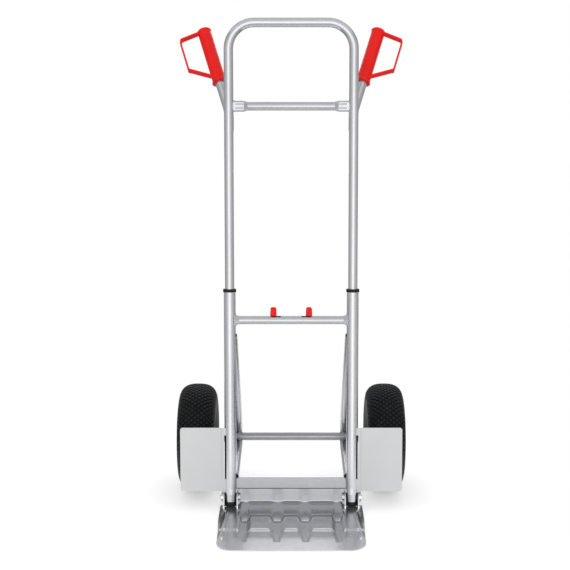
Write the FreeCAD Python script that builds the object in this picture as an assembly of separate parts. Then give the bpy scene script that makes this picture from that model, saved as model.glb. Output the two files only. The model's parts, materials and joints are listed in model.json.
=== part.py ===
"""Telescopic hand truck with a folding toe plate, two pneumatic wheels and two D-grips.

Millimetres, +Z up. The truck stands on its toe plate and its wheels on the floor, z = 0.
The load side faces -Y, the wheels are at +Y and +X is to the right seen from the load side.
The two uprights lean back by LEAN degrees, so most pieces are drawn in the frame's own
plane: x across, v backwards from the tubes' centre plane, s along the tubes from the floor.
standing() turns such a shape into place. Right-hand pieces are drawn and mirrored.
"""
import FreeCAD, Part
import math
import os

from FreeCAD import Vector

# --- driving dimensions ---------------------------------------------------------------
LEAN = 5.0                  # degrees the frame leans back
TUBE_SPACING = 290.0        # between the centres of the two uprights
UPRIGHT_R = 14.0            # 28 mm steel tube
HOOP_R = 11.0               # 22 mm steel tube that slides inside the upright
CROSSBAR_R = 10.0           # 20 mm steel tube
BRACE_R = 9.0               # 18 mm steel tube
TUBE_WALL = 1.5
UPRIGHT_TOP = 528.0         # s of the upright's upper end
HOOP_TOP = 1152.0           # s of the centre line of the hoop's top
HOOP_BEND = 60.0            # centre line radius of the hoop's corners
HOOP_END = 430.0            # s of the hoop's lower ends, pulled out
HOOP_TRAVEL = 350.0         # how far the hoop slides down

LOWER_BAR_S = 461.0         # s of the crossbar that holds the lock pins
UPPER_BAR_S = 961.0
CROSS_PLATE_LOW = 52.0
CROSS_PLATE_HIGH = 78.5
CROSS_PLATE_BACK = 8.0      # v of its rear face

AXLE_R = 10.0
AXLE_BACK = 160.0           # axle centre behind the tubes' foot
AXLE_HALF = 283.0
TYRE_R = 132.5              # over the tread; nominal size 260 mm
TYRE_HALF_WIDTH = 46.5
WHEEL_X = 232.5
HUB_HALF = 38.0

TOE_WIDTH = 335.0
TOE_REACH = 243.0           # front edge of the toe plate before the tubes' foot
SHEET = 3.0
HINGE_S = 32.0              # s of the toe plate's hinge bolts
GAP = 0.3                   # between pieces that move past each other
FIT = 0.05                  # radial clearance of a shaft in its hole

PIN_R = 4.0
PIN_X = 42.0                # where the red knobs stand, locked
PIN_TRAVEL = 15.0

TUBE_X = TUBE_SPACING / 2
# the bounding box runs from the toe plate's edge to the back of the tyres
BASE_Y = (TOE_REACH - AXLE_BACK - TYRE_R) / 2

X_AXIS = Vector(1, 0, 0)
Y_AXIS = Vector(0, 1, 0)
Z_AXIS = Vector(0, 0, 1)


# --- helpers --------------------------------------------------------------------------
def standing(shape):
    """Lean a shape drawn in the frame's plane back about the tubes' foot."""
    turned = shape.copy()
    turned.rotate(Vector(0, 0, 0), X_AXIS, -LEAN)
    return turned


def stand_point(x, v, s):
    """The same turn for one point."""
    a = math.radians(LEAN)
    return Vector(x, v * math.cos(a) + s * math.sin(a), s * math.cos(a) - v * math.sin(a))


def mirrored(shape):
    return shape.mirror(Vector(0, 0, 0), X_AXIS)


def save(name, *shapes):
    """Write one node, moved so that the origin is on the floor below the box's centre."""
    solids = []
    for shape in shapes:
        solids += shape.Solids
    node = solids[0] if len(solids) == 1 else Part.makeCompound(solids)
    node = node.copy()
    node.translate(Vector(0, BASE_Y, 0))
    node.exportStep(os.path.join("parts", name + ".step"))


def save_pair(name, *shapes):
    """Write a right-hand node and its mirror image."""
    save("right_" + name, *shapes)
    save("left_" + name, *[mirrored(shape) for shape in shapes])


def rod(radius, start, end):
    """A round bar between two points."""
    along = end - start
    return Part.makeCylinder(radius, along.Length, start, along)


def pipe(radius, wall, start, end):
    """A straight tube between two points, open at both ends."""
    along = (end - start).normalize()
    bore = rod(radius - wall, start - along, end + along)
    return rod(radius, start, end).cut(bore)


def cone(radius_1, radius_2, start, end):
    along = end - start
    return Part.makeCone(radius_1, radius_2, along.Length, start, along)


def block(low, high):
    size = high - low
    return Part.makeBox(size.x, size.y, size.z, low)


def rounded_path(corners, radii, closed=False):
    """Straight runs joined by tangent arcs, with one radius for each corner."""
    last = len(corners) - 1
    turns = []
    for i, corner in enumerate(corners):
        if radii[i] == 0 or (not closed and i in (0, last)):
            turns.append((corner, None, corner))
            continue
        before = (corners[i - 1] - corner).normalize()
        after = (corners[(i + 1) % len(corners)] - corner).normalize()
        half = before.getAngle(after) / 2
        reach = radii[i] / math.tan(half)
        inward = (before + after).normalize()
        middle = corner + inward * (radii[i] / math.sin(half) - radii[i])
        turns.append((corner + before * reach, middle, corner + after * reach))
    edges = []
    for i, (enter, middle, leave) in enumerate(turns):
        if middle is not None:
            edges.append(Part.Arc(enter, middle, leave).toShape())
        if closed or i < last:
            following = turns[(i + 1) % len(turns)][0]
            if (following - leave).Length > 1e-6:
                edges.append(Part.LineSegment(leave, following).toShape())
    return Part.Wire(edges)


def swept(path, radius):
    """A round solid along a path."""
    edge = path.Edges[0]
    start = edge.valueAt(edge.FirstParameter)
    along = edge.tangentAt(edge.FirstParameter)
    ring = Part.Wire(Part.makeCircle(radius, start, along))
    return path.makePipeShell([ring], True, True)


def bent_pipe(corners, radii, radius, wall):
    path = rounded_path(corners, radii)
    return swept(path, radius).cut(swept(path, radius - wall))


def plate(corners, radii, thickness):
    """A flat plate from its outline, thickness is a vector."""
    outline = rounded_path(corners, radii, closed=True)
    return Part.Face(outline).extrude(thickness)


def spun(outline, origin, axis):
    """A solid of revolution from a closed outline of points."""
    face = Part.Face(Part.makePolygon(outline + outline[:1]))
    return face.revolve(origin, axis, 360)


def oval(centre, narrow, wide, half_narrow, half_wide):
    """Section of a tube pressed flat: straight sides, round ends along the wide direction."""
    side = half_wide - half_narrow
    return four_sided(centre, narrow, wide, half_narrow, half_wide, half_narrow, side)


def four_sided(centre, narrow, wide, bulge_narrow, bulge_wide, corner_narrow, corner_wide):
    """A closed section of four edges, so that round and flat sections loft cleanly."""
    def at(n, w):
        return centre + narrow * n + wide * w
    edges = []
    corners = [(1, -1), (1, 1), (-1, 1), (-1, -1)]
    middles = [(bulge_narrow, 0), (0, bulge_wide), (-bulge_narrow, 0), (0, -bulge_wide)]
    for i, (sign_n, sign_w) in enumerate(corners):
        next_n, next_w = corners[(i + 1) % 4]
        start = at(sign_n * corner_narrow, sign_w * corner_wide)
        end = at(next_n * corner_narrow, next_w * corner_wide)
        middle = at(*middles[i])
        if (start + end).distanceToPoint(middle * 2) < 1e-6:
            edges.append(Part.LineSegment(start, end).toShape())
        else:
            edges.append(Part.Arc(start, middle, end).toShape())
    return Part.Wire(edges)


def circle_section(centre, narrow, wide, radius, corner_wide):
    """A circle in four arcs that matches oval()."""
    corner_narrow = math.sqrt(radius ** 2 - corner_wide ** 2)
    return four_sided(centre, narrow, wide, radius, radius, corner_narrow, corner_wide)


def pressed_end(round_at, flat_at, end_at, narrow, wide, radius, half_narrow, half_wide):
    """The solid end of a tube that is pressed from round to a flat oval."""
    side = half_wide - half_narrow
    first = circle_section(round_at, narrow, wide, radius, min(side, radius * 0.6))
    second = oval(flat_at, narrow, wide, half_narrow, half_wide)
    change = Part.makeLoft([first, second], True, True)
    flat = Part.Face(second).extrude(end_at - flat_at)
    return change.fuse(flat).removeSplitter()


# --- the frame: uprights, bars, braces, guards ------------------------------------------
FOOT_END = 24.0             # s of the upright's lower end
FOOT_FLAT = 42.0            # below this the tube is pressed flat
FOOT_ROUND = 55.0           # above this it is round
FOOT_HALF_X = 12.5
FOOT_HALF_V = 14.9
HINGE_BOLT_R = 4.0


def upright_outside():
    foot = Vector(TUBE_X, 0, FOOT_ROUND)
    flat = Vector(TUBE_X, 0, FOOT_FLAT)
    end = Vector(TUBE_X, 0, FOOT_END)
    pressed = pressed_end(foot, flat, end, X_AXIS, Y_AXIS, UPRIGHT_R, FOOT_HALF_X, FOOT_HALF_V)
    return rod(UPRIGHT_R, foot, Vector(TUBE_X, 0, UPRIGHT_TOP)).fuse(pressed)


def hinge_bore():
    """The hinge bolt's hole through an upright's foot."""
    half = UPRIGHT_R + 1
    return rod(HINGE_BOLT_R + FIT, Vector(TUBE_X - half, 0, HINGE_S), Vector(TUBE_X + half, 0, HINGE_S))


def upright():
    foot = Vector(TUBE_X, 0, FOOT_ROUND)
    flat = Vector(TUBE_X, 0, FOOT_FLAT)
    below = Vector(TUBE_X, 0, FOOT_END - 1)
    pressed = pressed_end(foot, flat, below, X_AXIS, Y_AXIS, UPRIGHT_R - TUBE_WALL,
                          FOOT_HALF_X - TUBE_WALL, FOOT_HALF_V - TUBE_WALL)
    bore = rod(UPRIGHT_R - TUBE_WALL, foot, Vector(TUBE_X, 0, UPRIGHT_TOP + 1)).fuse(pressed)
    tube = upright_outside().cut(bore)
    pin_hole = rod(PIN_R + GAP, Vector(0, 0, LOWER_BAR_S), Vector(TUBE_X, 0, LOWER_BAR_S))
    return tube.cut(hinge_bore()).cut(pin_hole)


def full_upright_bar():
    """The upright's outside with no bore, to fit other pieces against."""
    return rod(UPRIGHT_R, Vector(TUBE_X, 0, FOOT_END), Vector(TUBE_X, 0, UPRIGHT_TOP))


def foot_plug():
    """Plastic plug in the pressed lower end, with a lip of the tube's own outline."""
    lip_height = 12.0
    edge_round = 4.0
    top = Vector(TUBE_X, 0, FOOT_END)
    bottom = Vector(TUBE_X, 0, FOOT_END - lip_height)
    outline = oval(bottom, X_AXIS, Y_AXIS, FOOT_HALF_X, FOOT_HALF_V)
    lip = Part.Face(outline).extrude(top - bottom)
    for side in (-1, 1):
        corner = Vector(TUBE_X - 20, side * FOOT_HALF_V, FOOT_END - lip_height)
        corners = [corner, corner - Vector(0, side * edge_round, 0), corner + Vector(0, 0, edge_round)]
        lip = lip.cut(plate(corners, [0, 0, 0], Vector(40, 0, 0)))
    spigot_gap = 0.1
    inner = oval(top, X_AXIS, Y_AXIS, FOOT_HALF_X - TUBE_WALL - spigot_gap,
                 FOOT_HALF_V - TUBE_WALL - spigot_gap)
    spigot_height = 9.0
    plug = lip.fuse(Part.Face(inner).extrude(Vector(0, 0, spigot_height)))
    return plug.cut(hinge_bore())


def weld_flare(bar_radius, s):
    """Cone of weld where a bar meets the upright."""
    length = 8.0
    height = 4.5
    into_tube = 3.0
    foot = TUBE_X - UPRIGHT_R
    start = Vector(foot - length, 0, s)
    return cone(bar_radius, bar_radius + height, start, Vector(foot + into_tube, 0, s))


def lower_crossbar():
    half = rod(CROSSBAR_R, Vector(0, 0, LOWER_BAR_S), Vector(TUBE_X, 0, LOWER_BAR_S))
    half = half.fuse(weld_flare(CROSSBAR_R, LOWER_BAR_S)).cut(full_upright_bar())
    bar = half.fuse(mirrored(half)).removeSplitter()
    bore = rod(CROSSBAR_R - TUBE_WALL, Vector(-TUBE_X, 0, LOWER_BAR_S), Vector(TUBE_X, 0, LOWER_BAR_S))
    bar = bar.cut(bore)
    return bar.cut(knob_slot()).cut(mirrored(knob_slot()))


STEM_R = 3.0
SLOT_HALF = 3.5


def knob_slot():
    """Long hole in the crossbar's top wall for a knob's stem."""
    inner = PIN_X - PIN_TRAVEL
    above = LOWER_BAR_S + 2 * CROSSBAR_R
    hole = block(Vector(inner, -SLOT_HALF, LOWER_BAR_S), Vector(PIN_X, SLOT_HALF, above))
    for x in (inner, PIN_X):
        hole = hole.fuse(rod(SLOT_HALF, Vector(x, 0, LOWER_BAR_S), Vector(x, 0, above)))
    return hole


def cross_plate():
    thickness = 4.0
    low = Vector(-TUBE_X, CROSS_PLATE_BACK - thickness, CROSS_PLATE_LOW)
    bar = block(low, Vector(TUBE_X, CROSS_PLATE_BACK, CROSS_PLATE_HIGH))
    return bar.cut(upright_outside()).cut(mirrored(upright_outside()))


def axle_centre(x):
    return Vector(x, AXLE_BACK, TYRE_R)


def brace():
    """Tube bent round behind the axle, welded to the upright's back at both ends."""
    bend = 35.0
    top_x, top_s = 136.5, 425.0
    low_x, low_s = 133.8, 84.0
    bend_x = 130.8
    rounds = 20
    top = stand_point(top_x, 0, top_s)
    low = stand_point(low_x, 0, low_s)
    middle = axle_centre(bend_x)
    # the corner is found in a few rounds, so that the axle lies in the inside of the bend
    corner = middle
    for _ in range(rounds):
        to_top = Vector(0, top.y - corner.y, top.z - corner.z).normalize()
        to_low = Vector(0, low.y - corner.y, low.z - corner.z).normalize()
        half = to_top.getAngle(to_low) / 2
        inward = (to_top + to_low).normalize()
        reach = bend / math.sin(half) - bend + BRACE_R + AXLE_R
        corner = middle - inward * reach
    tube = bent_pipe([top, corner, low], [0, bend, 0], BRACE_R, TUBE_WALL)
    return tube.cut(standing(full_upright_bar())).cut(standing(cross_plate()))


def axle():
    shaft = rod(AXLE_R, axle_centre(-AXLE_HALF), axle_centre(AXLE_HALF))
    through = Z_AXIS * (2 * AXLE_R)
    end_chamfer = 1.2
    for side in (-1, 1):
        centre = axle_centre(side * SPLIT_PIN_X)
        shaft = shaft.cut(rod(SPLIT_PIN_R + FIT, centre - through, centre + through))
    return shaft.makeChamfer(end_chamfer, [edge for edge in shaft.Edges if is_end_circle(edge)])


def is_end_circle(edge):
    curve = edge.Curve
    return isinstance(curve, Part.Circle) and abs(abs(curve.Center.x) - AXLE_HALF) < 1e-6


SPLIT_PIN_X = 277.0
SPLIT_PIN_R = 2.0
WASHER = 2.0
WHEEL_PLAY = 0.5            # end play between the hub and its washers


def split_pin():
    """Cotter through the axle's end: one round shank with an eye above."""
    centre = axle_centre(SPLIT_PIN_X)
    below = 16.0
    above = 12.0
    shank = rod(SPLIT_PIN_R, centre - Z_AXIS * below, centre + Z_AXIS * above)
    eye_r = 3.2
    wire_r = 1.3
    eye = Part.makeTorus(eye_r, wire_r, centre + Z_AXIS * (above + eye_r), X_AXIS)
    return shank.fuse(eye)


def axle_spacer():
    spacer_r = 14.0
    beside_brace = 144.0
    start = axle_centre(beside_brace)
    end = axle_centre(WHEEL_X - HUB_HALF - WASHER - WHEEL_PLAY)
    return pipe(spacer_r, spacer_r - AXLE_R - FIT, start, end)


def axle_washer(x):
    washer_r = 17.0
    return pipe(washer_r, washer_r - AXLE_R - FIT, axle_centre(x), axle_centre(x + WASHER))


GUARD_LOW = 49.0
GUARD_HIGH = 203.0
GUARD_OUT = 264.5
GUARD_SHEET = 2.0
GUARD_FRONT = -10.0         # v of the front face of the strip beside the upright


def guard():
    """Flat sheet before the wheel, with a joggled edge strip and two welded tabs."""
    joggle = 3.0
    panel_front = GUARD_FRONT + joggle
    bend_in = 164.5
    bend_out = bend_in + joggle
    tab_end = 150.0
    inner_shift = 0.8
    profile = [
        Vector(tab_end, GUARD_FRONT, GUARD_LOW),
        Vector(bend_in, GUARD_FRONT, GUARD_LOW),
        Vector(bend_out, panel_front, GUARD_LOW),
        Vector(GUARD_OUT, panel_front, GUARD_LOW),
        Vector(GUARD_OUT, panel_front + GUARD_SHEET, GUARD_LOW),
        Vector(bend_out - inner_shift, panel_front + GUARD_SHEET, GUARD_LOW),
        Vector(bend_in - inner_shift, GUARD_FRONT + GUARD_SHEET, GUARD_LOW),
        Vector(tab_end, GUARD_FRONT + GUARD_SHEET, GUARD_LOW),
    ]
    sheet = plate(profile, [0] * len(profile), Vector(0, 0, GUARD_HIGH - GUARD_LOW))
    corner_r = 6.0
    front = -Y_AXIS * 30.0
    outline = plate(
        [Vector(tab_end, 0, GUARD_LOW), Vector(GUARD_OUT, 0, GUARD_LOW),
         Vector(GUARD_OUT, 0, GUARD_HIGH), Vector(tab_end, 0, GUARD_HIGH)],
        [0, corner_r, corner_r, 0], front)
    sheet = sheet.common(outline)
    slot_edge = TUBE_X + UPRIGHT_R + GAP * 2
    slot_low = 79.0
    slot_high = 185.5
    end_r = 1.5
    gap = plate(
        [Vector(TUBE_X, 0, slot_low), Vector(slot_edge, 0, slot_low),
         Vector(slot_edge, 0, slot_high), Vector(TUBE_X, 0, slot_high)],
        [0, end_r, end_r, 0], front)
    # clear of the foot where the tube starts to be pressed oval
    room = rod(UPRIGHT_R + 2 * GAP, Vector(TUBE_X, 0, GUARD_LOW - 1), Vector(TUBE_X, 0, FOOT_ROUND))
    return sheet.cut(gap).cut(full_upright_bar()).cut(room)


def collar():
    """Plastic guide in the top of the upright that the hoop slides through."""
    flange_r = 15.6
    flange = 7.0
    spigot = 30.0
    bore_r = HOOP_R + 2 * FIT
    spigot_r = UPRIGHT_R - TUBE_WALL
    top = UPRIGHT_TOP + flange
    edge = 1.2
    outline = [
        Vector(bore_r, 0, UPRIGHT_TOP - spigot),
        Vector(spigot_r, 0, UPRIGHT_TOP - spigot),
        Vector(spigot_r, 0, UPRIGHT_TOP),
        Vector(flange_r, 0, UPRIGHT_TOP),
        Vector(flange_r, 0, top - edge),
        Vector(flange_r - edge, 0, top),
        Vector(bore_r, 0, top),
    ]
    ring = spun(outline, Vector(0, 0, 0), Z_AXIS)
    ring.translate(Vector(TUBE_X, 0, 0))
    return ring


# --- the sliding hoop ---------------------------------------------------------------------
def hoop_outside():
    corners = [
        Vector(-TUBE_X, 0, HOOP_END), Vector(-TUBE_X, 0, HOOP_TOP),
        Vector(TUBE_X, 0, HOOP_TOP), Vector(TUBE_X, 0, HOOP_END),
    ]
    return rounded_path(corners, [0, HOOP_BEND, HOOP_BEND, 0])


def hoop_tube():
    path = hoop_outside()
    tube = swept(path, HOOP_R).cut(swept(path, HOOP_R - TUBE_WALL))
    inside = TUBE_X - 2 * HOOP_R
    for s in (LOWER_BAR_S, LOWER_BAR_S + HOOP_TRAVEL):
        for side in (-1, 1):
            hole = rod(PIN_R + GAP, Vector(side * inside, 0, s), Vector(side * TUBE_X, 0, s))
            tube = tube.cut(hole)
    return tube


def hoop_leg():
    """A full bar where the hoop's right leg is, to fit other pieces against."""
    return rod(HOOP_R, Vector(TUBE_X, 0, HOOP_END), Vector(TUBE_X, 0, HOOP_TOP - HOOP_BEND))


def upper_crossbar():
    flat_from = 110.0
    round_to = 101.0
    half_deep = 4.6
    half_tall = 12.8
    solids = []
    for wall in (0, TUBE_WALL):
        radius = CROSSBAR_R - wall
        start = Vector(round_to, 0, UPPER_BAR_S)
        flat = Vector(flat_from, 0, UPPER_BAR_S)
        end = Vector(TUBE_X, 0, UPPER_BAR_S)
        pressed = pressed_end(start, flat, end, Y_AXIS, Z_AXIS, radius, half_deep - wall, half_tall - wall)
        middle = rod(radius, Vector(-round_to, 0, UPPER_BAR_S), start)
        solids.append(middle.fuse(pressed).fuse(mirrored(pressed)))
    bar = solids[0].cut(solids[1])
    groove_r = 3.0
    groove_depth = 0.8
    groove_from, groove_to = 113.0, 127.0
    groove_offset = 4.5
    for side in (-1, 1):
        for face in (-1, 1):
            v = face * (half_deep + groove_r - groove_depth)
            for offset in (-groove_offset, groove_offset):
                start = Vector(side * groove_from, v, UPPER_BAR_S + offset)
                end = Vector(side * groove_to, v, UPPER_BAR_S + offset)
                tool = rod(groove_r, start, end)
                tool = tool.fuse(Part.makeSphere(groove_r, start)).fuse(Part.makeSphere(groove_r, end))
                bar = bar.cut(tool)
    return bar.cut(hoop_leg()).cut(mirrored(hoop_leg()))


def hoop_end_plug():
    """Plastic bush in the hoop's lower end that guides it inside the upright."""
    lip = 6.0
    spigot = 15.0
    lip_r = UPRIGHT_R - TUBE_WALL - GAP
    lower = rod(lip_r, Vector(TUBE_X, 0, HOOP_END - lip), Vector(TUBE_X, 0, HOOP_END))
    upper = rod(HOOP_R - TUBE_WALL, Vector(TUBE_X, 0, HOOP_END), Vector(TUBE_X, 0, HOOP_END + spigot))
    return lower.fuse(upper)


GRIP_RISE = Vector(39.8, 73.0, 115.0)   # the grip's axis goes up, outwards and back
GRIP_LENGTH = 148.0
GRIP_R = 16.0
GRIP_TUBE_LOW = 905.0       # s of the grip tube's lower end, behind the hoop's leg
GRIP_TUBE_TURN = 947.0      # s where it turns towards the grip
GRIP_NECK = 83.8            # from that turn to the grip's lower rim
GRIP_TUBE_BEND = 60.0


def grip_frame():
    """Unit vectors of the grip: up its axis, out towards the guard, and across the band."""
    up = Vector(GRIP_RISE).normalize()
    out = (X_AXIS - up * X_AXIS.dot(up)).normalize()
    across = up.cross(out)
    return up, out, across


def grip_turn():
    """Where the straight behind the hoop's leg meets the grip's axis."""
    return stand_point(TUBE_X, 2 * HOOP_R, GRIP_TUBE_TURN)


def grip_point(out_by, up_by):
    """A point in the grip's own plane, from the middle of its lower rim."""
    up, out, _ = grip_frame()
    return grip_turn() + up * (GRIP_NECK + up_by) + out * out_by


def grip_tube():
    """Bent tube welded behind the hoop's leg; it carries the grip."""
    low = stand_point(TUBE_X, 2 * HOOP_R, GRIP_TUBE_LOW)
    end = grip_point(0, GRIP_LENGTH - 14)
    return bent_pipe([low, grip_turn(), end], [0, GRIP_TUBE_BEND, 0], HOOP_R, TUBE_WALL)


GUARD_BAND = 15.0           # width of the finger guard's band


def grip():
    """D-grip: hollow handle with rims at both ends and a flat band round the fingers."""
    across = grip_frame()[2]
    body = rod(GRIP_R, grip_point(0, 0), grip_point(0, GRIP_LENGTH))
    rim = cone(GRIP_R + 2.5, GRIP_R + 1.0, grip_point(0, 0), grip_point(0, 5))
    top_rim = cone(GRIP_R, GRIP_R + 1.8, grip_point(0, GRIP_LENGTH - 7), grip_point(0, GRIP_LENGTH - 3))
    cap = cone(GRIP_R + 1.8, GRIP_R - 1.5, grip_point(0, GRIP_LENGTH - 3), grip_point(0, GRIP_LENGTH + 1))
    body = body.fuse(rim).fuse(top_rim).fuse(cap)
    outside = [(6, 147), (60, 138.5), (64, 130), (64, 50), (58, 47), (6, 13)]
    inside = [(10, 142.2), (57.2, 134.8), (60, 128), (60, 53), (56, 50.8), (10, 20.6)]
    half = across * (GUARD_BAND / 2)
    rings = []
    for points, radii in ((outside, [0, 3.5, 3.5, 2.5, 2.5, 0]), (inside, [0, 1.8, 1.8, 1.2, 1.2, 0])):
        corners = [grip_point(d, a) - half for d, a in points]
        rings.append(plate(corners, radii, half * 2))
    band = rings[0].cut(rings[1])
    handle = body.fuse(band)
    bore = rod(HOOP_R + FIT, grip_point(0, -1), grip_point(0, GRIP_LENGTH - 13))
    return handle.cut(bore)


# --- the lock in the lower crossbar ---------------------------------------------------------
SLUG_R = CROSSBAR_R - TUBE_WALL - GAP
SLUG_LOW = 35.0
SLUG_HIGH = 50.0
STOP_HALF = 4.0


def lock_pin():
    """Round pin with a thick inner end; its tip stands just short of the hoop's leg."""
    tip = TUBE_X - HOOP_R - GAP
    nose = 2.0
    pin = rod(PIN_R, Vector(SLUG_HIGH, 0, LOWER_BAR_S), Vector(tip - nose, 0, LOWER_BAR_S))
    end = cone(PIN_R, PIN_R - 1, Vector(tip - nose, 0, LOWER_BAR_S), Vector(tip, 0, LOWER_BAR_S))
    slug = rod(SLUG_R, Vector(SLUG_LOW, 0, LOWER_BAR_S), Vector(SLUG_HIGH, 0, LOWER_BAR_S))
    stem_hole = rod(STEM_R, Vector(PIN_X, 0, LOWER_BAR_S - 4), Vector(PIN_X, 0, LOWER_BAR_S + 20))
    return slug.fuse(pin).fuse(end).cut(stem_hole)


def lock_knob():
    """Red cap with grip ribs on a stem that passes through the slot."""
    foot = LOWER_BAR_S + CROSSBAR_R + GAP
    height = 20.5
    wide_r = 7.4
    narrow_r = 6.4
    rib_r = 1.0
    rib_count = 12
    edge = 1.2
    cap = cone(wide_r, narrow_r, Vector(PIN_X, 0, foot), Vector(PIN_X, 0, foot + height - edge))
    crown = cone(narrow_r, narrow_r - edge, Vector(PIN_X, 0, foot + height - edge),
                 Vector(PIN_X, 0, foot + height))
    knob = cap.fuse(crown)
    for i in range(rib_count):
        a = 2 * math.pi * i / rib_count
        low = Vector(PIN_X + wide_r * math.cos(a), wide_r * math.sin(a), foot + 1)
        top = Vector(PIN_X + narrow_r * math.cos(a), narrow_r * math.sin(a), foot + height - 3)
        knob = knob.fuse(rod(rib_r, low, top))
    stem = rod(STEM_R, Vector(PIN_X, 0, LOWER_BAR_S - 4), Vector(PIN_X, 0, foot))
    return knob.fuse(stem)


def lock_spring():
    """Coil between the centre stop and the pin's thick end."""
    wire_r = 0.6
    coil_r = 6.0
    turns = 9
    low = STOP_HALF + wire_r
    high = SLUG_LOW - wire_r
    height = high - low
    helix = Part.makeHelix(height / turns, height, coil_r)
    start = Vector(coil_r, 0, 0)
    ring = Part.Wire(Part.makeCircle(wire_r, start, Vector(0, 1, 0)))
    coil = Part.Wire(helix.Edges).makePipeShell([ring], True, True)
    coil.rotate(Vector(0, 0, 0), Y_AXIS, 90)
    coil.translate(Vector(low, 0, LOWER_BAR_S))
    return coil


def lock_stop():
    radius = CROSSBAR_R - TUBE_WALL
    return rod(radius, Vector(-STOP_HALF, 0, LOWER_BAR_S), Vector(STOP_HALF, 0, LOWER_BAR_S))


def pin_guide():
    """Plastic bush that keeps the pin in the middle of the crossbar."""
    inner_end, outer_end = 104.0, 120.0
    start = Vector(inner_end, 0, LOWER_BAR_S)
    end = Vector(outer_end, 0, LOWER_BAR_S)
    radius = CROSSBAR_R - TUBE_WALL
    return pipe(radius, radius - PIN_R - FIT, start, end)


# --- the folding toe plate -----------------------------------------------------------------
WALL_FRONT = CROSS_PLATE_BACK + GAP
WALL_BACK = WALL_FRONT + SHEET
WALL_TOP = 68.0
WALL_SIDE_TOP = 46.0
NOTCH_LOW = 8.0
EAR_INNER = (127.5, 130.5)
EAR_OUTER = (159.5, 162.5)
EAR_R = 14.0
LAND_HEIGHT = 6.0


def toe_sheet_section():
    """Side outline of the sheet: floor, bend and leaning rear wall, as a closed wire."""
    bend_out = 26.0
    bend_in = bend_out - SHEET
    outer_foot = stand_point(0, WALL_BACK, 0)
    inner_foot = stand_point(0, WALL_FRONT, 0)
    rise = stand_point(0, 0, 1)
    outer_corner = outer_foot + rise * (-outer_foot.z / rise.z)
    inner_corner = inner_foot + rise * ((SHEET - inner_foot.z) / rise.z)
    corners = [
        Vector(0, -TOE_REACH, 0), outer_corner, stand_point(0, WALL_BACK, WALL_TOP),
        stand_point(0, WALL_FRONT, WALL_TOP), inner_corner, Vector(0, -TOE_REACH, SHEET),
    ]
    return corners, [0, bend_out, 0.8, 0.8, bend_in, 0]


def toe_plate():
    half = TOE_WIDTH / 2
    corners, radii = toe_sheet_section()
    corners = [corner - X_AXIS * half for corner in corners]
    sheet = plate(corners, radii, X_AXIS * TOE_WIDTH)
    # rounded front corners
    front_r = 34.0
    far = 120.0
    outline = plate(
        [Vector(-half, far, -1), Vector(-half, -TOE_REACH, -1),
         Vector(half, -TOE_REACH, -1), Vector(half, far, -1)],
        [0, front_r, front_r, 0], Z_AXIS * far)
    sheet = sheet.common(outline)
    # the wall is open around the tube's foot and low beside it
    notch_front = -10.0
    for side in (-1, 1):
        x_1 = side * EAR_INNER[1]
        x_2 = side * EAR_OUTER[0]
        notch = block(Vector(min(x_1, x_2), notch_front, NOTCH_LOW), Vector(max(x_1, x_2), far, far))
        x_3 = side * (half + 1)
        step = block(Vector(min(x_1, x_3), notch_front, WALL_SIDE_TOP), Vector(max(x_1, x_3), far, far))
        sheet = sheet.cut(standing(notch)).cut(standing(step))
    return press_lands(sheet)


def land(x_low, x_high, y_front, y_back, z_foot, height, slope):
    """A raised field with sloping sides, as a solid to add or cut."""
    def outline(inset_x, inset_front, inset_back, z):
        corners = [
            Vector(x_low + inset_x, y_front + inset_front, z),
            Vector(x_high - inset_x, y_front + inset_front, z),
            Vector(x_high - inset_x, y_back - inset_back, z),
            Vector(x_low + inset_x, y_back - inset_back, z),
        ]
        return Part.makePolygon(corners + corners[:1])
    front_slope = 6 * slope
    foot = outline(0, 0, 0, z_foot)
    top = outline(slope, front_slope, slope, z_foot + height)
    return Part.makeLoft([foot, top], True, True)


def press_lands(sheet):
    """Press five raised fields into the floor of the toe plate."""
    y_back = -16.0
    y_front = -190.0
    wide_slope = 9.0
    rib_slope = 4.0
    fields = (
        (-150, -128, rib_slope), (-98, -46, wide_slope), (-20, 20, wide_slope),
        (46, 98, wide_slope), (128, 150, rib_slope),
    )
    for x_low, x_high, slope in fields:
        raised = land(x_low, x_high, y_front, y_back, SHEET, LAND_HEIGHT, slope)
        hollow = land(x_low, x_high, y_front, y_back, 0, LAND_HEIGHT, slope)
        sheet = sheet.fuse(raised).cut(hollow)
    return sheet


def hinge_ear(x_low, x_high):
    """Plate that carries the hinge bolt, standing on the floor before the wall."""
    foot_front = -19.0
    front_r = 10.0
    step = 1.0
    corners = [
        Vector(x_low, foot_front, 0), Vector(x_low, -EAR_R, HINGE_S),
        Vector(x_low, -EAR_R, HINGE_S + EAR_R), Vector(x_low, WALL_FRONT, HINGE_S + EAR_R),
        Vector(x_low, WALL_FRONT, 0),
    ]
    ear = plate(corners, [0, front_r, EAR_R - step, 0, 0], Vector(x_high - x_low, 0, 0))
    hole = rod(HINGE_BOLT_R + FIT, Vector(x_low - step, 0, HINGE_S), Vector(x_high + step, 0, HINGE_S))
    ear = standing(ear.cut(hole))
    far = 80.0
    floor = block(Vector(x_low - step, -far, -far), Vector(x_high + step, far, SHEET))
    return ear.cut(floor)


def fitted_ear(x_low, x_high, sheet):
    return hinge_ear(x_low, x_high).cut(sheet)


def hexagon(across_flats, thickness, start, along, skew=0.0):
    """A hexagonal head or nut with its corners broken."""
    radius = across_flats / math.sqrt(3)
    points = []
    for i in range(7):
        a = math.pi / 3 * i + skew
        points.append(Vector(0, radius * math.cos(a), radius * math.sin(a)))
    head = Part.Face(Part.makePolygon(points)).extrude(X_AXIS * thickness)
    domed = Part.makeSphere(radius * 1.35, Vector(thickness / 2 - radius * 0.62, 0, 0))
    head = head.common(domed)
    if along < 0:
        head = mirrored(head)
    head.translate(start)
    return head


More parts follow.
